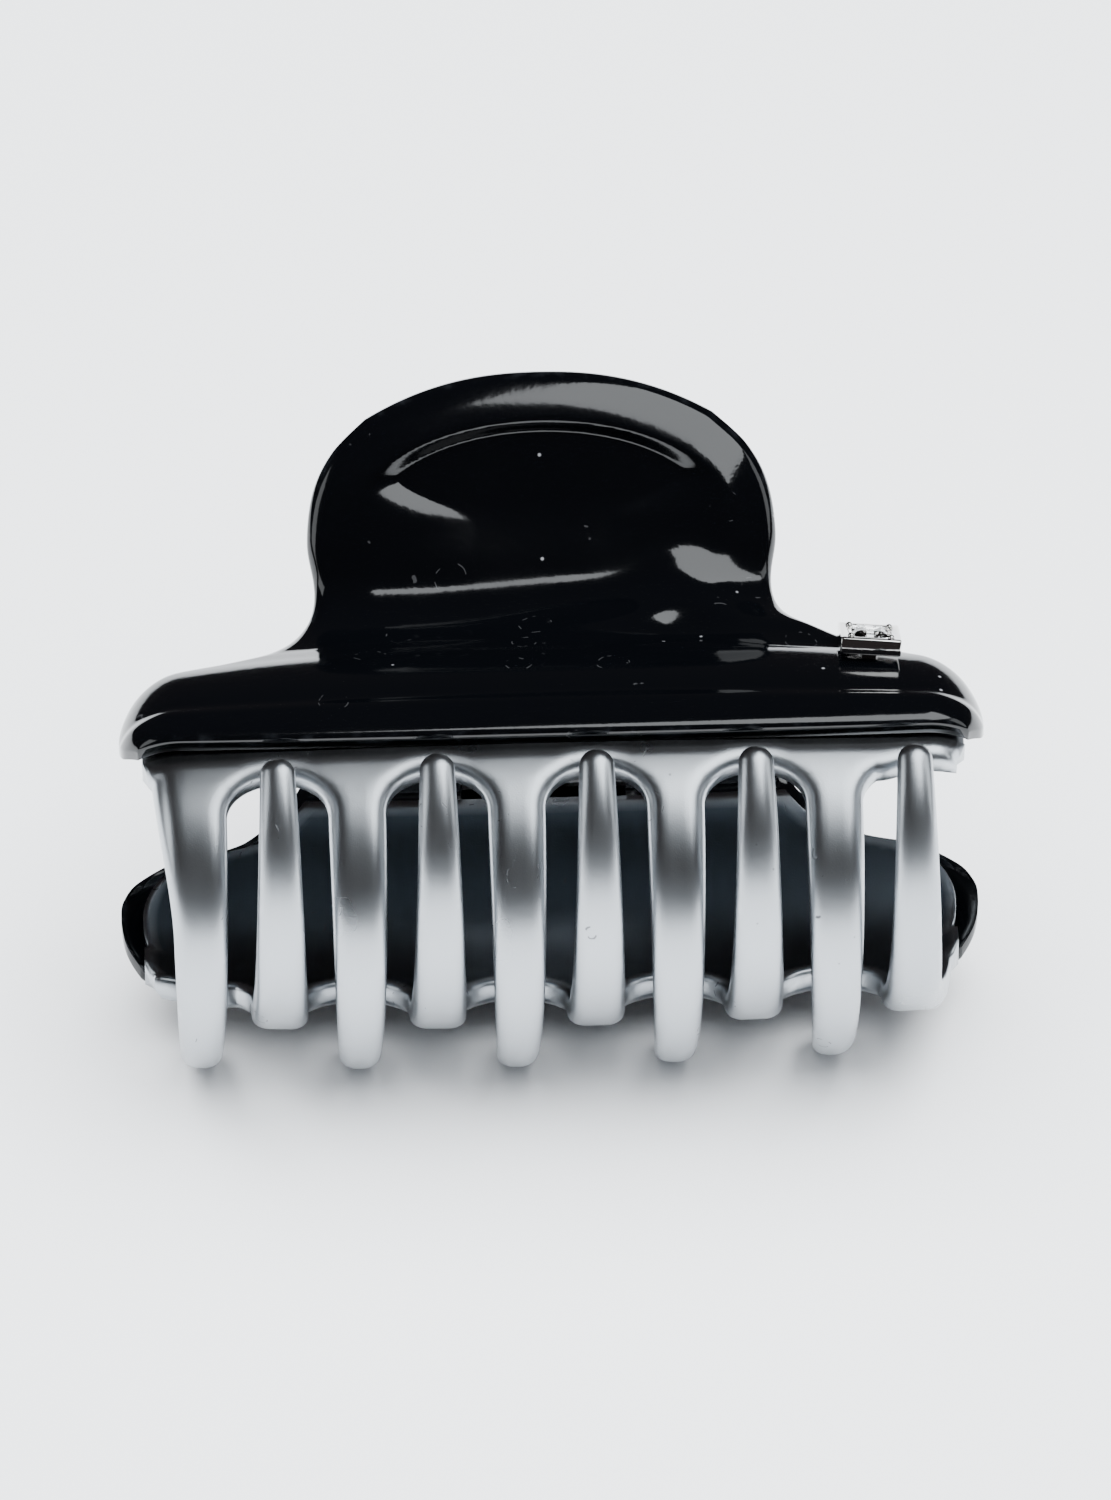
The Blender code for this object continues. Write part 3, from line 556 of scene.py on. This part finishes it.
def makeShell(half):
    keys = shellKeys()
    stations = [key + step / shell["tabRows"] for key in range(3) for step in range(shell["tabRows"])]
    rest = len(keys) - 4
    stations += [3 + step / shell["jawRows"] for step in range(rest * shell["jawRows"] + 1)]
    bm, keyed = blankGrid(shell["columns"], len(stations) - 1)
    for (column, row), vert in keyed.items():
        width, edge, middle = smoothKeys(keys, stations[row])
        share = math.sin(math.pi / 2 * (2 * column / shell["columns"] - 1))
        vert.co = (share * width, middle + (edge - middle) * abs(share) ** 2.3, 0)
    thickenAndBend(bm, shellOuter, shellInner, halves[half], 0.7 * mm)
    name = half + "ShellBody"
    return finishPiece(bm, name, "blackLacquer", half + "_half", [half + "_shell"], 0)


for half in halves:
    makeShell(half)
print("shells made")


comb = {
    "wall": 3.0 * mm,
    "setBack": 0.6 * mm,
    "endGap": 2.2 * mm,
    "bandHeight": 3.3 * mm,
    "archHeight": 4.3 * mm,
    "claws": 5,
    "rootWidth": 5.6 * mm,
    "tipWidth": 3.3 * mm,
    "endMargin": 5.3 * mm,
    "tipThinning": 0.3 * mm,
    "linerGap": 0.45 * mm,
    "linerRise": 2.6 * mm,  # how far the liner reaches up into the neck
    "touchGap": 0.3 * mm,
    "pillowWidth": 1.7 * mm,
    "pillowHeight": 1.15 * mm,
    "clawColumns": 14,
    "gapColumns": 16,
    "stubColumns": 12,
    "clawRows": 60,
    "linerRows": 36,
    "tipRows": 10,
    "archRows": 9,
}
combHalf = halfWidth - comb["endGap"]
pitch = (combHalf - comb["endMargin"]) / 2.25
archTop = seam + comb["bandHeight"]
archFoot = archTop + comb["archHeight"]
linerTop = jawStart - comb["linerRise"]
combStep = seam + comb["touchGap"]


def clawCentre(index):
    return (index - 2.25) * pitch


def clawHalf(along):
    share = max(0.0, (along - archFoot) / (clawEnd - archFoot))
    half = (comb["rootWidth"] + (comb["tipWidth"] - comb["rootWidth"]) * share**1.6) / 2
    left = (clawEnd - along) / (comb["tipWidth"] / 2)
    if left < 1:
        half *= math.sqrt(max(0.02, 1 - (1 - left) ** 2))
    return half


def archPoint(turn):
    foot = clawHalf(archFoot)
    return foot + (pitch / 2 - foot) * (1 - math.cos(turn)), archFoot - comb["archHeight"] * math.sin(turn)


def shellHalfAt(along):
    keys = shellKeys()
    steps = [smoothKeys(keys, 3 + step / 20) for step in range(20 * (len(keys) - 4) + 1)]
    for (half, edge, _), (nextHalf, nextEdge, _) in zip(steps, steps[1:]):
        if edge <= along <= nextEdge:
            return half + (nextHalf - half) * (along - edge) / (nextEdge - edge)
    return halfWidth


def linerShare(along):
    if along > seam - comb["endGap"]:
        return 1.0
    return min(1.0, (shellHalfAt(along) - comb["endGap"]) / combHalf)  # the liner narrows with the shell


def endReach(along):
    leanIn = ease(seam, archFoot + 14 * mm, along)
    claw = 2.25 * pitch + clawHalf(max(along, archFoot))
    corner = 0.8 * mm * ease(archTop - 2 * mm, archTop, along) * (1 - leanIn)
    return combHalf + (claw - combHalf) * leanIn - corner


def combRows():
    rows = [("band", linerTop + (combStep - linerTop) * share / comb["linerRows"]) for share in range(comb["linerRows"] + 1)]
    rows += [("band", combStep + step * mm) for step in (0.1, 0.2, 0.3)]
    shoulder = archPoint(math.radians(45))[1]
    rows += [("above", above * mm) for above in (2.1, 1.6, 1.2, 0.85, 0.55, 0.3, 0.12)]
    rows += [("arch", math.radians(45) * (1 - step / comb["archRows"])) for step in range(comb["archRows"] + 1)]
    straight = clawEnd - comb["tipWidth"] / 2 - archFoot
    rows += [("claw", archFoot + straight * (step + 1) / comb["clawRows"]) for step in range(comb["clawRows"])]
    for step in range(comb["tipRows"]):
        turn = math.pi / 2 * (step + 1) / comb["tipRows"]
        rows.append(("claw", clawEnd - comb["tipWidth"] / 2 * (1 - math.sin(turn))))
    return rows, shoulder


def combColumns():
    columns = []
    for index in range(comb["claws"]):
        for step in range(comb["clawColumns"] + 1):
            columns.append(("claw", index, (1 - math.cos(math.pi * step / comb["clawColumns"])) / 2))
        if index < comb["claws"] - 1:
            columns += [("gap", index, step / comb["gapColumns"]) for step in range(1, comb["gapColumns"])]
    columns += [("stub", 0, (step + 1) / comb["stubColumns"]) for step in range(comb["stubColumns"])]
    return columns


def combSpot(column, row, shoulder):
    across, along = fullWidthSpot(column, row, shoulder)
    return across * (linerShare(row[1]) if row[0] == "band" else 1.0), along


def fullWidthSpot(column, row, shoulder):
    kind, index, share = column
    rowKind, value = row
    turn0 = math.radians(45)
    fromMiddle, settle = archPoint(turn0)[0], 1.0
    if rowKind == "band":
        along, settle = value, 0.0
    elif rowKind == "above":
        along = shoulder - value
    elif rowKind == "arch":
        fromMiddle, along = archPoint(value)
    else:
        fromMiddle, along = clawHalf(value), value
    if rowKind == "above":
        settle = 1 - ease(0, 2.3 * mm, value) * 0.45
    if kind == "claw":
        right = clawCentre(index) + fromMiddle
        left = -endReach(along) if index == 0 else clawCentre(index) - fromMiddle
        return left + (right - left) * share, along
    if kind == "gap":
        turn = turn0 + (math.pi - 2 * turn0) * share
        reach, top = archPoint(min(turn, math.pi - turn))
        across = clawCentre(index) + (reach if turn <= math.pi / 2 else pitch - reach)
        return across, along + (top - shoulder) * settle
    start = clawCentre(comb["claws"] - 1) + fromMiddle
    across = start + (endReach(min(along, archTop)) - start) * share
    return across, along + (archTop - shoulder) * settle * ease(0, 1, share * 1.6)


def combOuter(across, along, distance):
    out = ease(combStep, combStep + 0.3 * mm, along)
    hidden = shell["wall"] + comb["linerGap"]
    thinning = comb["tipThinning"] * ease(archFoot, clawEnd, along)
    onClaws = ease(combStep + 0.3 * mm, combStep + 1.2 * mm, along)
    pillow = roundOff(distance, comb["pillowWidth"], comb["pillowHeight"]) * onClaws
    return hidden + (comb["setBack"] - hidden) * out + thinning + pillow


def combInner(across, along, distance):
    thinning = comb["tipThinning"] * ease(archFoot, clawEnd, along)
    onClaws = ease(combStep, combStep + 1.2 * mm, along)
    return comb["setBack"] + comb["wall"] - thinning - roundOff(distance, 0.9 * mm, 0.6 * mm) * onClaws


def makeComb(half):
    rows, shoulder = combRows()
    columns = combColumns()
    firstOpen = next(index for index, row in enumerate(rows) if row[0] == "arch")
    bm, keyed = blankGrid(len(columns) - 1, len(rows) - 1)
    holes = []
    for column in range(len(columns) - 1):
        if columns[column][0] == "claw" and columns[column + 1][0] == "claw":
            continue
        for row in range(firstOpen, len(rows) - 1):
            corners = [keyed[column + a, row + b] for a, b in ((0, 0), (1, 0), (1, 1), (0, 1))]
            shared = set(corners[0].link_faces)
            for corner in corners[1:]:
                shared &= set(corner.link_faces)
            holes += list(shared)
    for (column, row), vert in keyed.items():
        vert.co = (*combSpot(columns[column], rows[row], shoulder), 0)
    bmesh.ops.delete(bm, geom=holes, context="FACES")
    thickenAndBend(bm, combOuter, combInner, halves[half], 0.6 * mm)
    name = half + "CombBody"
    return finishPiece(bm, name, "silverLacquer", half + "_half", [half + "_comb"], 0)


for half in halves:
    makeComb(half)
print("combs made")


hinge = {
    "pinRadius": 0.9 * mm,
    "headRadius": 1.6 * mm,
    "headHeight": 0.8 * mm,
    "bracketSoften": 0.1 * mm,
    "bracketThickness": 0.8 * mm,
    "bracketTop": 2.5 * mm,
    "bracketHeight": 4.3 * mm,
    "rivetRadius": 0.6 * mm,
    "rivetHead": 1.2 * mm,
    "rivetHeight": 0.6 * mm,
    "rivetGrip": 1.8 * mm,
    "rivetAt": 2.9 * mm,
}


def turned(points, place, segments=48):
    bm = bmesh.new()
    verts = [bm.verts.new((radius, 0, height)) for radius, height in points]
    edges = [bm.edges.new(pair) for pair in zip(verts, verts[1:])]
    bmesh.ops.spin(
        bm, geom=verts + edges, axis=(0, 0, 1), cent=(0, 0, 0), angle=math.tau, steps=segments, use_merge=True
    )
    bmesh.ops.remove_doubles(bm, verts=bm.verts, dist=0.001 * mm)
    bmesh.ops.recalc_face_normals(bm, faces=bm.faces)
    bmesh.ops.transform(bm, matrix=place, verts=bm.verts)
    return bm


def domed(radius, low, high, steps=6):
    turns = [math.pi / 2 * step / steps for step in range(steps + 1)]
    return [(radius * math.cos(turn), low + (high - low) * math.sin(turn)) for turn in turns]


def softCopy(node, name, body, material):
    bm = bmesh.new()
    bm.from_mesh(frame["nodes"][node].data)
    bmesh.ops.remove_doubles(bm, verts=bm.verts, dist=0.002 * mm)
    bmesh.ops.dissolve_limit(bm, angle_limit=math.radians(2), verts=bm.verts, edges=bm.edges)
    piece = finishPiece(bm, name, material, body, [node], 35)
    modifier = piece.modifiers.new("softEdges", "BEVEL")
    modifier.width = hinge["bracketSoften"]
    modifier.segments = 2
    modifier.limit_method = "ANGLE"
    modifier.angle_limit = math.radians(35)
    return piece


alongX = layDown @ Matrix.Rotation(math.pi / 2, 4, "Y")
pinLow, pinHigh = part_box("hinge_pin")
capLow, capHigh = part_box("pin_cap")
headBack = pinLow.x + hinge["headHeight"]
pinEnd = pinHigh.x
pinPoints = [(0, pinEnd), (hinge["pinRadius"], pinEnd), (hinge["pinRadius"], headBack), (hinge["headRadius"], headBack)]
pinPoints += domed(hinge["headRadius"], headBack - 0.15 * mm, pinLow.x)
pinPoints[-1] = (0, pinLow.x)
finishPiece(turned(pinPoints, alongX), "hingePinBody", "springSteel", "rear_half", ["hinge_pin"], 40)
bore = hinge["pinRadius"] + 0.2 * mm
capPoints = [(0, pinEnd + 0.3 * mm), (bore, pinEnd + 0.3 * mm), (bore, capLow.x), (hinge["headRadius"], capLow.x)]
capPoints += domed(hinge["headRadius"], capHigh.x - 0.9 * mm, capHigh.x)
capPoints[-1] = (0, capHigh.x)
finishPiece(turned(capPoints, alongX), "pinCapBody", "springSteel", "rear_half", ["pin_cap"], 40)

for half, place in halves.items():
    softCopy(half + "_hinge_bracket", half + "Bracket", half + "_half", "springSteel")
    under = handle["wall"] + 0.3 * mm
    headAt = -hinge["bracketThickness"] - 0.3 * mm
    for side, word in ((-1, "left"), (1, "right")):
        along = neckStart + hinge["bracketTop"] + hinge["bracketHeight"] / 2
        spot = place @ onSkin(side * hinge["rivetAt"], along, under)
        grip = hinge["rivetGrip"] + 0.3 * mm
        points = [(0, grip), (hinge["rivetRadius"], grip), (hinge["rivetRadius"], headAt), (hinge["rivetHead"], headAt)]
        points += domed(hinge["rivetHead"], headAt - 0.1 * mm, headAt - hinge["rivetHeight"])
        points[-1] = (0, headAt - hinge["rivetHeight"])
        node = f"{half}_rivet_{word}"
        finishPiece(turned(points, spot, 32), half + "Rivet" + word.title(), "springSteel", half + "_half", [node], 40)

spring = {
    "wire": 0.4 * mm,
    "coilRadius": 1.8 * mm,
    "turns": 5,
    "pitch": 1.1 * mm,
    "legReach": 17.0 * mm,
    "pointsPerTurn": 36,
}


def makeSpring():
    length = spring["turns"] * spring["pitch"]
    legEnd = handle["standOff"] - handle["wall"] - 0.3 * mm - spring["wire"]
    leg = handleOut * legEnd + handleUp * spring["legReach"]
    start = math.atan2(-leg.x, leg.y) + math.acos(spring["coilRadius"] / leg.length)
    sweep = spring["turns"] * math.tau - 2 * (start - math.pi / 2)
    steps = spring["pointsPerTurn"] * spring["turns"]
    points = [Vector((length / 2, -leg.x, leg.y))]
    for step in range(steps + 1):
        turn = math.pi - start + sweep * step / steps
        across = length * (0.5 - step / steps)
        points.append(Vector((across, spring["coilRadius"] * math.cos(turn), spring["coilRadius"] * math.sin(turn))))
    points.append(Vector((-length / 2, leg.x, leg.y)))
    curve = bpy.data.curves.new("springLine", "CURVE")
    curve.dimensions = "3D"
    curve.bevel_depth = spring["wire"]
    curve.bevel_resolution = 4
    curve.use_fill_caps = True
    spline = curve.splines.new("POLY")
    spline.points.add(len(points) - 1)
    for knot, point in zip(spline.points, points):
        knot.co = (*(layDown @ point), 1)
    wire = bpy.data.objects.new("springLine", curve)
    bpy.context.scene.collection.objects.link(wire)
    mesh = bpy.data.meshes.new_from_object(wire.evaluated_get(bpy.context.evaluated_depsgraph_get()))
    bpy.data.objects.remove(wire)
    bm = bmesh.new()
    bm.from_mesh(mesh)
    bmesh.ops.remove_doubles(bm, verts=bm.verts, dist=0.001 * mm)
    piece = finishPiece(bm, "torsionSpringWire", "springSteel", None, ["torsion_spring"], 40)
    ends = [layDown @ Vector((side * length / 2, 0, 0)) for side in (-1, 1)]
    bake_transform(piece, "rear_half", "front_half", start=ends[0], end=ends[1])  # the coil twists along its length


makeSpring()
print("hinge made")


setting = {
    "side": 6.0 * mm,
    "height": 1.7 * mm,
    "border": 0.9 * mm,
    "floor": 0.5 * mm,
    "post": 1.6 * mm,
    "postLength": 1.2 * mm,
    "across": 31.6 * mm,
    "belowNeck": 4.2 * mm,
    "lift": 0.55 * mm,
    "beadRadius": 0.36 * mm,
}
stoneShape = {"side": 3.6 * mm, "corner": 0.45 * mm, "girdle": 1.5 * mm, "top": 2.0 * mm, "low": 0.8 * mm}
settingPlace = halves["front"] @ onSkin(setting["across"], jawStart + setting["belowNeck"], -setting["lift"])


def insetAndMove(bm, sign, margin, rise):
    face = max(bm.faces, key=lambda item: sign * item.calc_center_median().z)
    bmesh.ops.inset_region(bm, faces=[face], thickness=margin, use_even_offset=True)
    bmesh.ops.translate(bm, verts=face.verts, vec=(0, 0, rise))


def sinkPocket(bm, sign, margin, rise):
    face = max(bm.faces, key=lambda item: sign * item.calc_center_median().z)
    bmesh.ops.inset_region(bm, faces=[face], thickness=margin, use_even_offset=True)
    made = bmesh.ops.extrude_face_region(bm, geom=[face])
    moved = [item for item in made["geom"] if isinstance(item, bmesh.types.BMVert)]
    bmesh.ops.translate(bm, verts=moved, vec=(0, 0, rise))
    bmesh.ops.delete(bm, geom=[face], context="FACES_ONLY")


def makeSetting():
    bm = bmesh.new()
    bmesh.ops.create_cube(bm, size=1)
    bmesh.ops.scale(bm, verts=bm.verts, vec=(setting["side"], setting["side"], setting["height"]))
    bmesh.ops.translate(bm, verts=bm.verts, vec=(0, 0, setting["height"] / 2))
    sinkPocket(bm, 1, setting["border"], setting["floor"] - setting["height"])
    sinkPocket(bm, -1, (setting["side"] - setting["post"]) / 2, -setting["postLength"])
    bmesh.ops.bevel(
        bm, geom=bm.edges[:], offset=0.17 * mm, affect="EDGES", segments=3, profile=0.5, material=-1,
        offset_type="OFFSET",
    )
    inner = setting["side"] / 2 - setting["border"] - 0.12 * mm
    for x in (-inner, inner):
        for y in (-inner, inner):
            spot = Matrix.Translation((x, y, setting["height"] - 0.05 * mm))
            bmesh.ops.create_uvsphere(bm, u_segments=20, v_segments=12, radius=setting["beadRadius"], matrix=spot)
    bmesh.ops.transform(bm, matrix=settingPlace, verts=bm.verts)
    return finishPiece(bm, "stoneSetting", "polishedChrome", "front_half", ["stone_setting"], 40)


def makeStone():
    bm = bmesh.new()
    bmesh.ops.create_cube(bm, size=1)
    depth = 0.12 * mm
    bmesh.ops.scale(bm, verts=bm.verts, vec=(stoneShape["side"], stoneShape["side"], depth))
    upright = [edge for edge in bm.edges if abs(edge.verts[0].co.z - edge.verts[1].co.z) > depth / 2]
    bmesh.ops.bevel(
        bm, geom=upright, offset=stoneShape["corner"], affect="EDGES", segments=1, profile=0.5, material=-1
    )
    bmesh.ops.translate(bm, verts=bm.verts, vec=(0, 0, stoneShape["girdle"]))
    rise = (stoneShape["top"] - stoneShape["girdle"]) / 2
    insetAndMove(bm, 1, 0.34 * mm, 1.3 * rise)  # crown in two steps
    insetAndMove(bm, 1, 0.42 * mm, 0.6 * rise)
    fall = (stoneShape["girdle"] - stoneShape["low"]) / 3
    for margin in (0.4, 0.5, 0.55):  # pavilion in three steps
        insetAndMove(bm, -1, margin * mm, -fall)
    bmesh.ops.transform(bm, matrix=settingPlace, verts=bm.verts)
    return finishPiece(bm, "squareStone", "crystal", "front_half", ["stone"], 1)


makeSetting()
makeStone()
print("setting and stone made")


studio = {
    "floorSize": 6.0,
    "floorColour": (0.86, 0.86, 0.87),
    "worldColour": (0.03, 0.026, 0.027),
    "lightColour": (0.93, 0.97, 1.0),
    "cameraDistance": 1.9,
    "cameraTurn": -2.4,  # degrees from straight on
    "lens": 458.0,
    "aimRight": 1.2 * mm,
    "aimDown": 5.1 * mm,
}
lights = [
    # name, height angle over the front horizon, sideways, distance, width, depth, glow, seen in reflections
    ("overheadPanel", 76.0, 0.25, 0.62, 0.54, 0.42, 5.2, True),
    ("leftPanel", 60.0, -0.74, 0.40, 0.36, 0.5, 2.2, True),
    ("rightPanel", 70.0, 0.8, 0.42, 0.34, 0.5, 2.0, True),
    ("softCeiling", 90.0, 0.0, 1.5, 2.6, 2.6, 8.0, False),
]


def floorFinish():
    material = bpy.data.materials.new("paleTable")
    material.use_nodes = True
    tree = material.node_tree
    shader = tree.nodes["Principled BSDF"]
    place = addNode(tree, "TexCoord").outputs["Object"]
    grain = placeGroup(tree, "grain", place, Scale=300.0, Stretch=1.0)
    tone = mixColour(tree, grain.outputs["Cloud"], studio["floorColour"], tuple(0.99 * c for c in studio["floorColour"]))
    tree.links.new(tone, shader.inputs["Base Color"])
    shader.inputs["Roughness"].default_value = 0.6
    return material


def makeFloor():
    bm = bmesh.new()
    bmesh.ops.create_grid(bm, x_segments=2, y_segments=2, size=studio["floorSize"] / 2)
    mesh = bpy.data.meshes.new("tableTop")
    bm.to_mesh(mesh)
    bm.free()
    mesh.materials.append(floorFinish())
    floor = bpy.data.objects.new("tableTop", mesh)
    bpy.context.scene.collection.objects.link(floor)


def pointAt(item, target):
    item.rotation_euler = (target - item.location).to_track_quat("-Z", "Y").to_euler()


def makeLights():
    for name, rise, sideways, distance, width, depth, glow, reflected in lights:
        lamp = bpy.data.lights.new(name, "AREA")
        lamp.shape = "RECTANGLE"
        lamp.size = width
        lamp.size_y = depth
        lamp.color = studio["lightColour"]
        lamp.energy = glow * math.pi * width * depth
        lampObject = bpy.data.objects.new(name, lamp)
        lampObject.visible_glossy = reflected
        lampObject.visible_camera = False
        bpy.context.scene.collection.objects.link(lampObject)
        angle = math.radians(rise)
        lampObject.location = hingePoint + Vector((sideways, -distance * math.cos(angle), distance * math.sin(angle)))
        pointAt(lampObject, hingePoint)
    world = bpy.data.worlds.new("studioAir")
    world.use_nodes = True
    world.node_tree.nodes["Background"].inputs["Color"].default_value = (*studio["worldColour"], 1)
    bpy.context.scene.world = world


def makeCamera():
    camera = bpy.data.cameras.new("mainCamera")
    camera.lens = studio["lens"]
    camera.sensor_width = 36
    camera.clip_end = 10
    cameraObject = bpy.data.objects.new("mainCamera", camera)
    bpy.context.scene.collection.objects.link(cameraObject)
    rise = math.atan2(padAxis.z, -padAxis.y)  # square on to the thumb tab
    turn = math.radians(studio["cameraTurn"])
    away = Vector((math.sin(turn) * math.cos(rise), -math.cos(turn) * math.cos(rise), math.sin(rise)))
    right = Vector((math.cos(turn), math.sin(turn), 0))
    target = hingePoint + right * studio["aimRight"] - away.cross(right) * studio["aimDown"]
    cameraObject.location = target + away * studio["cameraDistance"]
    pointAt(cameraObject, target)
    bpy.context.scene.camera = cameraObject


makeFloor()
makeLights()
makeCamera()
print("studio made")
